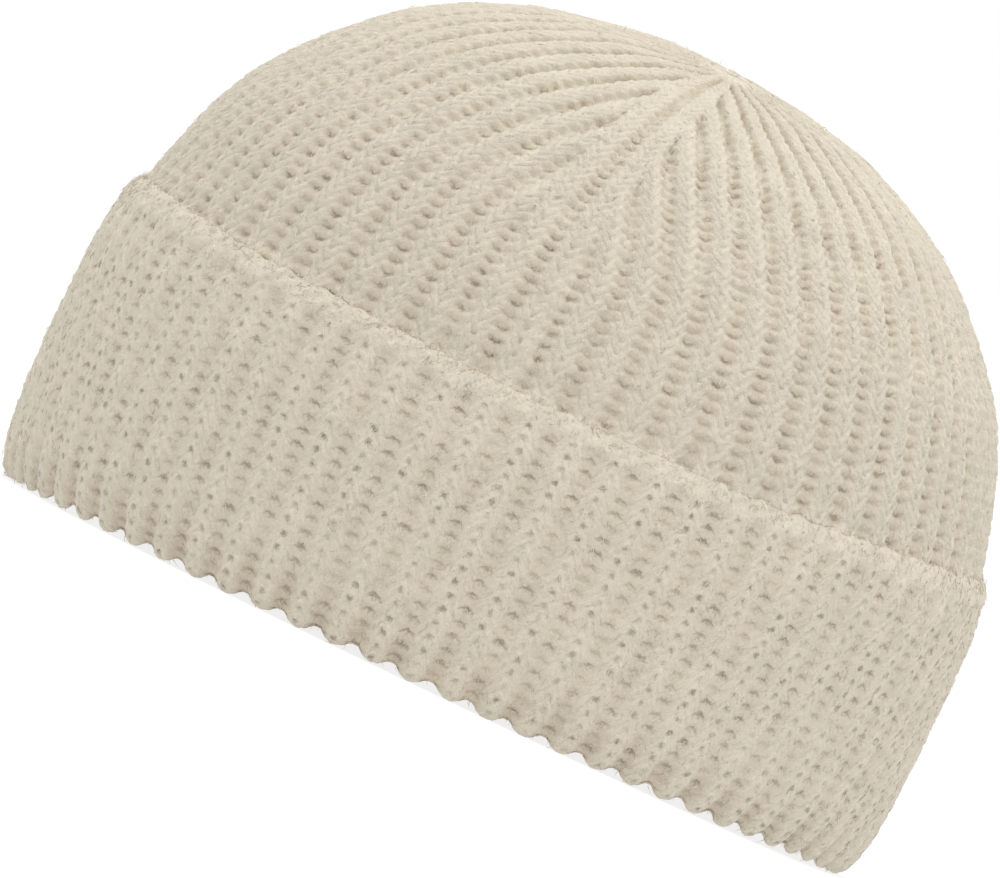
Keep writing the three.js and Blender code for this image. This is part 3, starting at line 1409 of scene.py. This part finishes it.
@dataclass
class Fuzz:
    """Short fibres that lie on the yarn and stand off it.

    Attributes:
        count: Number of fibres.
        stand: How far the fibres stand up, 0 for lying flat.
        seed: Seed of chance.
        length: Shortest and longest fibre, in millimetres.
        thick: Half thickness at the root, in millimetres.
        outward: Share of the way out of the cap in how a fibre faces, against the yarn's 1.
        scatter: How far a root lies off its cell, in millimetres.
        sink: How deep a root lies in the yarn, in millimetres.
        lean: How much the way up differs from fibre to fibre.
        turn: How far the fibres turn from up and down, in radians.
        least_stand: How far even the flattest fibre stands up.
        tone: Darkest and lightest tone of a fibre.
    """

    count: int
    stand: float
    seed: int
    length: tuple[float, float] = (0.9, 2.6)
    thick: float = 0.1
    outward: float = 2.0
    scatter: float = 0.35
    sink: float = 0.12
    lean: float = 0.05
    turn: float = 0.75
    least_stand: float = 0.05
    tone: tuple[float, float] = (0.3, 1.0)

    def grow(
        self, shells: list[Shell], hosts: list[bpy.types.Object], name: str
    ) -> bpy.types.Object:
        """Grows fibres from random places on the faces of some pieces.

        Args:
            shells: The pieces' grids.
            hosts: The pieces' objects, in the same order.
            name: Name of the new piece.

        Returns:
            The fibres as one mesh object.
        """
        centre, normal, weight = self._cells(shells, hosts)
        chance = np.random.default_rng(self.seed)
        chosen = chance.choice(len(centre), self.count, p=weight / weight.sum())
        root = centre[chosen].astype(float)
        out = unit(normal[chosen] + self.outward * unit(root - BODY))
        root += chance.uniform(-self.scatter, self.scatter, (self.count, 3)) * MM
        root -= out * self.sink * MM
        up = np.array([0.0, 0.0, 1.0]) - out * out[:, 2:3]
        up = unit(up + chance.normal(0, self.lean, (self.count, 3)))
        beside = np.cross(out, up)
        turn = chance.normal(0, self.turn, self.count)
        turn = turn + math.pi * chance.integers(0, 2, self.count)
        stand = np.abs(chance.normal(0, self.stand, self.count))
        stand = np.minimum(stand, 2 * self.stand) + self.least_stand
        way = up * np.cos(turn)[:, None] + beside * np.sin(turn)[:, None]
        way = unit(way + out * stand[:, None])
        low, high = self.length
        length = (low + (high - low) * chance.random(self.count) ** 2) * MM
        points = self._spikes(root, root + way * length[:, None], np.cross(way, out), way)
        faces = (np.array(SPIKE) + np.arange(self.count)[:, None, None] * 4).reshape(-1, 3)
        mesh = bpy.data.meshes.new(name)
        mesh.from_pydata(points.tolist(), [], faces.tolist())
        mesh.shade_smooth()
        give(mesh, "strand", points / MM)
        give(mesh, "stitch", np.zeros_like(points))
        give(mesh, "detail", np.zeros_like(points))
        give(mesh, "tone", np.repeat(chance.uniform(*self.tone, self.count), 4))
        return show(name, mesh)

    @staticmethod
    def _cells(
        shells: list[Shell], hosts: list[bpy.types.Object]
    ) -> tuple[np.ndarray, np.ndarray, np.ndarray]:
        """Gathers the cells that fibres may grow from.

        Args:
            shells: The pieces' grids.
            hosts: The pieces' objects, in the same order.

        Returns:
            Centre, normal and share of the fuzz of each cell.
        """
        centres, normals, weights = [], [], []
        for shell, host in zip(shells, hosts):
            faces = host.data.polygons
            centre = np.empty(len(faces) * 3, dtype=np.float32)
            normal = np.empty(len(faces) * 3, dtype=np.float32)
            area = np.empty(len(faces), dtype=np.float32)
            faces.foreach_get("center", centre)
            faces.foreach_get("normal", normal)
            faces.foreach_get("area", area)
            used = shell.face_quads
            fluff = np.repeat(shell.face.fluff[:-1], used // (len(shell.face.fluff) - 1))
            centres.append(centre.reshape(-1, 3)[:used])
            normals.append(normal.reshape(-1, 3)[:used])
            weights.append(area[:used] * fluff)
        return np.vstack(centres), np.vstack(normals), np.concatenate(weights).astype(float)

    def _spikes(
        self, root: np.ndarray, tip: np.ndarray, aside: np.ndarray, way: np.ndarray
    ) -> np.ndarray:
        """Shapes the fibres as spikes on a triangle.

        Args:
            root: Middles of the triangles.
            tip: Tips of the fibres.
            aside: Directions of the triangles' first corners.
            way: Directions of the fibres.

        Returns:
            Four corners of each fibre, its tip first.
        """
        aside = unit(aside)
        other = np.cross(way, aside)
        corners = [tip]
        for third in range(3):
            angle = third * math.tau / 3
            spoke = aside * math.cos(angle) + other * math.sin(angle)
            corners.append(root + spoke * self.thick * MM)
        return np.stack(corners, axis=1).reshape(-1, 3)


@dataclass
class KnitPart:
    """A part of the cap made of closed pieces of knit with fuzz on them.

    Attributes:
        faces: Smooth faces of the knit.
        pieces: Objects made so far.
        shells: Grids of the pieces of knit.
    """

    faces: Faces
    pieces: list[bpy.types.Object] = field(default_factory=list)
    shells: list[Shell] = field(default_factory=list)

    def add(self, name: str, face: Grid, back: Grid) -> None:
        """Makes one closed piece of knit."""
        self.shells.append(Shell(name, face, back))
        self.pieces.append(self.shells[-1].build())

    def grow(self, fuzz: Fuzz, name: str) -> None:
        """Grows fuzz on the pieces of knit."""
        self.pieces.append(fuzz.grow(self.shells, self.pieces, name))

    def dress(self, yarn: bpy.types.Material) -> None:
        """Gives every piece the yarn."""
        for piece in self.pieces:
            piece.data.materials.append(yarn)


@dataclass
class Crown(KnitPart):
    """The crown: four gores of knit, each closed from its outside to its inside.

    Attributes:
        relief: Stitches of the crown.
        seen_from: Height below which the cuff hides the band.
        hidden_rings: Number of rings on the hidden part of the band.
        inner_row_cells: Cells along one row on the inside.
        outer_lift: Lift of the whole outside, in millimetres.
        drawn: Where the ribs are drawn out, by the share of the band radius.
        pole: Where the relief comes in round the top, by the same share.
        purl_out: Where the purl stitches close up, by the same share.
        knit_loss: How much of the relief the knit stitches lose there.
        purl_loss: How much of the relief the purl stitches lose there.
        panel_pull: Growth and widening of the columns of the panels.
        gore_pull: Growth and widening of the columns of the gores.
        panel_end: Where the panel along a line ends, in ribs from the line.
        gore_start: Where the gore comes out from under it, in ribs from the line.
        drop: How deep each lies where it ends, in millimetres.
        blend: Depth over which the two run together, in millimetres.
        still: Share of the band radius inside which the slow bulges fade.
        bulge: Lift of the dome where it comes out of the cuff, in millimetres.
        bulge_calm: How much of the relief is lost there.
        glow: Painted light that makes the yarn lighter there, lifting the shade by the cuff's
            edge.
    """

    relief: KnitRelief = field(default_factory=lambda: KnitRelief(CROWN_STITCH, SIZE, seed=11))
    seen_from: float = 58 * MM
    hidden_rings: int = 6
    inner_row_cells: float = 2.5
    outer_lift: float = -0.15
    drawn: Ramp = Ramp(0.85, -0.5)
    pole: Ramp = Ramp(0.04, 0.08)
    purl_out: Ramp = Ramp(0.7, -0.4)
    knit_loss: float = 0.45
    purl_loss: float = 0.85
    panel_pull: tuple[float, float] = (0.1, 0.05)
    gore_pull: tuple[float, float] = (0.9, 0.07)
    panel_end: Ramp = Ramp(1.1, -0.3)
    gore_start: Ramp = Ramp(0.5, 0.3)
    drop: float = 1.7
    blend: float = 0.8
    still: float = 0.3
    bulge: float = 0.6
    bulge_calm: float = 0.4
    glow: float = 0.16

    def build(self) -> None:
        """Makes the gores and their fuzz."""
        for side in Side:
            name = f"crown_{side.name.lower()}"
            self.add(name, self._outside(side), self._inside(side))
        self.grow(Fuzz(15000, stand=0.03, seed=5), "crown_fuzz")

    def declare(self) -> None:
        """Attaches the pieces to the root body and hides the part of the model that they replace.
        """
        for piece in self.pieces:
            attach(piece, "root")
        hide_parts("crown")

    def _read(self, surface: KnitSurface, bearing: np.ndarray, along: np.ndarray) -> Reading:
        """Reads the gathered crown, the panels along the lines over the gores.

        Args:
            surface: The face.
            bearing: Bearings of the points, in radians.
            along: Lengths along the outline.

        Returns:
            What the knit is like at each point.
        """
        radius, _ = surface.profile.point(along)
        reach = radius / surface.base
        row = along / self.faces.size.row
        drawn, pole = self.drawn.at(reach), self.pole.at(reach)
        knit = (1 - self.knit_loss * drawn) * pole
        purl = (1 - self.purl_loss * self.purl_out.at(reach)) * pole
        flat, pulled = (
            Pull((1 + growth * drawn) * pole, knit, purl, spread * drawn)
            for growth, spread in (self.panel_pull, self.gore_pull)
        )
        away, number = self.faces.layout.from_line(bearing, reach)
        panel = self.relief.read(number + 0.5, row, flat)
        middle = self.faces.layout.from_middle(bearing, reach)
        gore = self.relief.read(middle + 0.5, row, pulled)
        away = np.abs(away)
        panel.height = panel.height - self.drop * (1 - self.panel_end.at(away))
        gore.height = gore.height - self.drop * (1 - self.gore_start.at(away))
        return panel.choose(gore, self.blend)

    def _outside(self, side: Side) -> Grid:
        """Lays the knit on the outside, with few rings where the cuff hides it.

        Args:
            side: The gore.

        Returns:
            The grid of the outside.
        """
        surface = self.faces.crown()
        length = surface.profile.length
        seen = self.seen_from - self.faces.foot
        hidden = np.linspace(0, seen, self.hidden_rings, endpoint=False)
        shown = np.arange(seen, length, self.faces.size.row / ROW_CELLS)
        rings = np.concatenate([hidden, shown, [length]])
        bearings = self.faces.layout.bearings(side, RIB_CELLS)
        along, bearing = np.meshgrid(rings, bearings, indexing="ij")
        _, height = surface.profile.point(along)
        above_cuff = height - self.faces.cuff_top(bearing)
        bulge = self.bulge * hump(above_cuff, 2 * MM)
        # Painted light: a narrow band just above the cuff's top edge is made lighter to lift the
        # shade there.
        glow = self.glow * hump(above_cuff - 0.5 * MM, 1 * MM)
        return self._grid(surface, along, bearing, Swell(seed=21), self.outer_lift, bulge, glow)

    def _inside(self, side: Side) -> Grid:
        """Lays the knit on the inside, with larger cells.

        Args:
            side: The gore.

        Returns:
            The grid of the inside.
        """
        surface = self.faces.inside()
        length = surface.profile.length
        rings = np.linspace(0, length, int(length / self.faces.size.row * self.inner_row_cells))
        bearings = self.faces.layout.bearings(side, RIB_CELLS // 2)
        along, bearing = np.meshgrid(rings, bearings, indexing="ij")
        none = np.zeros_like(along)
        return self._grid(surface, along, bearing, Swell(seed=22), 0.0, none, none)

    def _grid(
        self,
        surface: KnitSurface,
        along: np.ndarray,
        bearing: np.ndarray,
        swell: Swell,
        lift: float,
        bulge: np.ndarray,
        tone: np.ndarray,
    ) -> Grid:
        """Lays the relief on a face.

        Args:
            surface: The face.
            along: Lengths along the outline, rings by columns.
            bearing: Bearings in radians, rings by columns.
            swell: Slow bulges of the face.
            lift: Lift of the whole face, in millimetres.
            bulge: Further lift of each point, which calms the relief.
            tone: How much lighter the yarn is at each point.

        Returns:
            The grid of the face, with even fuzz.
        """
        reading = self._read(surface, bearing, along)
        radius, _ = surface.profile.point(along)
        calm = smooth(radius / surface.base / self.still)
        relief = reading.height * (1 - self.bulge_calm * bulge)
        high = tuck(relief + swell.at(bearing, along) * calm)
        high = np.where(radius > 0, high + bulge, 0) + lift
        points = surface.spot(bearing, along, high * MM)
        return Grid(points, reading, np.ones(len(along)), tone)


@dataclass
class Cuff(KnitPart):
    """The turned-up cuff: four closed lengths of knit with a thick, felted edge.

    Attributes:
        relief: Stitches of the cuff.
        edge: How far the felted edge reaches down from its top.
        edge_fade: How far below the edge the stitches reach their full relief.
        edge_lift: Thickening of the edge, in millimetres.
        edge_fluff: How much more fuzz the edge takes.
        lumps: Height of the uneven lumps of the edge, in millimetres.
        fold: Where the ribs grow towards the fold, by the height.
        scallop: How much higher the ribs are at the fold, in millimetres.
        glow: How much lighter the yarn is under the edge.
        back_rings: Number of rings on the back.
        back_cells: Cells across one rib on the back.
    """

    relief: KnitRelief = field(default_factory=lambda: KnitRelief(CUFF_STITCH, SIZE, seed=12))
    edge: float = 4.6 * MM
    edge_fade: float = 1.6 * MM
    edge_lift: float = 0.55
    edge_fluff: float = 1.5
    lumps: float = 0.2
    fold: Ramp = Ramp(13 * MM, -11 * MM)
    scallop: float = 1.1
    glow: float = 0.09
    back_rings: int = 24
    back_cells: int = 3

    def build(self) -> None:
        """Makes the lengths, their fuzz and the longer fuzz of the edge."""
        for side in Side:
            self.add(f"cuff_{side.name.lower()}", self._face(side), self._behind(side))
        self.grow(Fuzz(20000, stand=0.04, seed=6), "cuff_fuzz")
        rings, top = self._rings()
        for shell in self.shells:
            shell.face.fluff = hump(rings - top - 0.1 * self.edge, 0.55 * self.edge)
        self.grow(Fuzz(3500, stand=0.06, seed=7, length=(1.5, 3.6)), "cuff_edge_fuzz")

    def declare(self) -> None:
        """Attaches the pieces to the root body and hides the part of the model that they replace.
        """
        for piece in self.pieces:
            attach(piece, "root")
        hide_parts("cuff")

    def _rings(self) -> tuple[np.ndarray, float]:
        """Spaces the rings of the face.

        Returns:
            Lengths of the rings along the outline, and the length at its highest ring.
        """
        outline = self.faces.cuff().profile
        count = int(outline.length / self.faces.size.row * ROW_CELLS)
        rings = np.linspace(0, outline.length, count)
        _, height = outline.point(rings)
        return rings, float(rings[np.argmax(height)])

    def _face(self, side: Side) -> Grid:
        """Lays the knit on the face, with its thick edge and the scallops of the fold.

        Args:
            side: The length of knit.

        Returns:
            The grid of the face.
        """
        surface, size = self.faces.cuff(), self.faces.size
        rings, top = self._rings()
        bearings = self.faces.layout.bearings(side, RIB_CELLS)[::-1]
        along, bearing = np.meshgrid(rings, bearings, indexing="ij")
        number = (bearing - self.faces.layout.first_line) / (math.tau / size.ribs)
        _, height = surface.profile.point(along)
        past = along - top
        body = Ramp(self.edge, self.edge_fade).at(past)
        growth = self.scallop / self.relief.shape.ridge * self.fold.at(height) * body
        pull = Pull(body * (1 + growth), body, body)
        reading = self.relief.read(number + 0.5, along / size.row, pull)
        welt = hump(past - 0.4 * self.edge, self.edge) * self.edge_lift
        ragged = self._ragged(number, past) * (1 - body)
        high = reading.height + welt + ragged + Swell(seed=23).at(bearing, along)
        points = surface.spot(bearing, along, tuck(high) * MM)
        fluff = 1 + self.edge_fluff * hump(rings - top - 0.3 * self.edge, self.edge)
        return Grid(points, reading, fluff, self.glow * hump(past - 4.8 * MM, 2.4 * MM))

    def _ragged(self, number: np.ndarray, past: np.ndarray) -> np.ndarray:
        """Draws the uneven lumps of the edge from waves that close round the cap.

        Args:
            number: Rib numbers, with fractions.
            past: Lengths from the top of the edge.

        Returns:
            Lift in millimetres.
        """
        turn = number * math.tau / self.faces.size.ribs
        slow = np.sin(59 * turn + 1.5 * np.sin(7 * turn))
        quick = np.sin(121 * turn + past / MM * 1.3)
        return self.lumps * slow + self.lumps * quick

    def _behind(self, side: Side) -> Grid:
        """Lays a plain back against the band.

        Args:
            side: The length of knit.

        Returns:
            The grid of the back.
        """
        surface = self.faces.behind_cuff()
        rings = np.linspace(0, surface.profile.length, self.back_rings)
        bearings = self.faces.layout.bearings(side, self.back_cells)[::-1]
        along, bearing = np.meshgrid(rings, bearings, indexing="ij")
        points = surface.spot(bearing, along, tuck(np.zeros_like(along)) * MM)
        none = np.zeros_like(points)
        plain = Reading(none[..., 0], none, points / MM, none)
        return Grid(points, plain, np.ones(len(rings)), none[..., 0])


@dataclass(frozen=True)
class Lamp:
    """A square soft lamp.

    Attributes:
        name: Name of the lamp.
        place: Where it hangs.
        width: Width of its panel.
        watts: Power.
        colour: Linear colour of its light.
        aim: Point that it shines at.
    """

    name: str
    place: tuple[float, float, float]
    width: float
    watts: float
    colour: tuple[float, float, float] = (1.0, 0.99, 0.97)
    aim: tuple[float, float, float] = (0.0, 0.0, 70 * MM)

    def build(self) -> None:
        """Hangs the lamp."""
        panel = bpy.data.lights.new(self.name, "AREA")
        panel.size = self.width
        panel.energy = self.watts
        panel.color = self.colour
        thing = show(self.name, panel)
        thing.location = self.place
        towards = Vector(self.aim) - Vector(self.place)
        thing.rotation_euler = towards.to_track_quat("-Z", "Y").to_euler()


@dataclass(frozen=True)
class Studio:
    """Pale floor, soft light and the camera of the photograph.

    Attributes:
        floor_radius: Radius of the floor.
        distance: From the camera to the cap.
        raised_deg: How far above the level the camera looks from.
        tilt_deg: How far the picture is turned.
        picture_width: Width of the picture, in pixels.
        pixels_per_mm: Size of the cap in the picture.
        sensor_mm: Width of the camera's sensor, in millimetres.
        reach: Furthest that the camera sees.
        aim: Point in the middle of the picture.
        lamps: Soft lamps besides the even light of the sky.
    """

    floor_radius: float = 60.0
    distance: float = 6.0
    raised_deg: float = 1.0
    tilt_deg: float = 25.6
    picture_width: int = 1000
    pixels_per_mm: float = 4.76
    sensor_mm: float = 36.0
    reach: float = 400.0
    aim: tuple[float, float, float] = (-6.4 * MM, 0.0, 52.0 * MM)
    lamps: tuple[Lamp, ...] = (
        Lamp("key", (1.2, -1.5, 1.4), width=1.6, watts=6.0),
        Lamp("top", (-0.2, 0.0, 2.2), width=1.4, watts=19.0),
    )

    def build(self) -> None:
        """Makes the floor, the lights and the camera."""
        self._floor()
        self._sky()
        for lamp in self.lamps:
            lamp.build()
        self._camera()

    def _floor(self) -> None:
        """Lays the floor, a disc that no piece stands in."""
        disc = bmesh.new()
        bmesh.ops.create_circle(disc, cap_ends=True, segments=64, radius=self.floor_radius)
        mesh = bpy.data.meshes.new("floor")
        disc.to_mesh(mesh)
        disc.free()
        mesh.materials.append(PaleFinish().build())
        floor = show("floor", mesh)
        floor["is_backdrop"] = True

    @staticmethod
    def _sky() -> None:
        """Makes even white light from all round."""
        world = bpy.data.worlds.new("studio")
        world.use_nodes = True
        sky = world.node_tree.nodes["Background"]
        sky.inputs["Color"].default_value = (1.0, 1.0, 1.0, 1.0)
        sky.inputs["Strength"].default_value = 1.0
        bpy.context.scene.world = world

    def _camera(self) -> None:
        """Sets up the camera, turned about its line of sight as in the photograph."""
        scene = bpy.context.scene
        lens = bpy.data.cameras.new("camera")
        lens.sensor_width = self.sensor_mm
        shown_mm = self.picture_width / self.pixels_per_mm
        lens.lens = self.sensor_mm / shown_mm * self.distance / MM
        lens.clip_end = self.reach
        camera = show("camera", lens)
        raised, tilt = math.radians(self.raised_deg), math.radians(self.tilt_deg)
        ahead = Vector((0, math.cos(raised), -math.sin(raised)))
        level = Vector((1, 0, 0))
        upright = Vector((0, math.sin(raised), math.cos(raised)))
        right = level * math.cos(tilt) + upright * math.sin(tilt)
        up = upright * math.cos(tilt) - level * math.sin(tilt)
        turn = Matrix((right, up, -ahead)).transposed().to_4x4()
        place = Vector(self.aim) - ahead * self.distance
        camera.matrix_world = Matrix.Translation(place) @ turn
        scene.camera = camera
        scene.view_settings.view_transform = "Standard"
        scene.view_settings.look = "None"


def corners() -> list[list[float]]:
    """Lowest and highest corner of what is shown, as plain lists."""
    return [list(corner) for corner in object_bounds()]


def main() -> None:
    """Builds the cap, the studio and the camera."""
    logging.basicConfig(level=logging.INFO, format="%(message)s")
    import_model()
    faces = Faces()
    crown = Crown(faces)
    cuff = Cuff(faces)
    for part, name, valley_shade_share in ((crown, "crown_yarn", 0.84), (cuff, "cuff_yarn", 0.56)):
        part.build()
        part.dress(YarnFinish(name, part.relief.shape, valley_shade_share).build())
        part.declare()
    Studio().build()
    total = 0
    for piece in crown.pieces + cuff.pieces:
        count = triangles(piece)
        total += count
        LOG.info("%s: %d triangles", piece.name, count)
    LOG.info("in all: %d triangles", total)


if __name__ == "__main__":
    main()
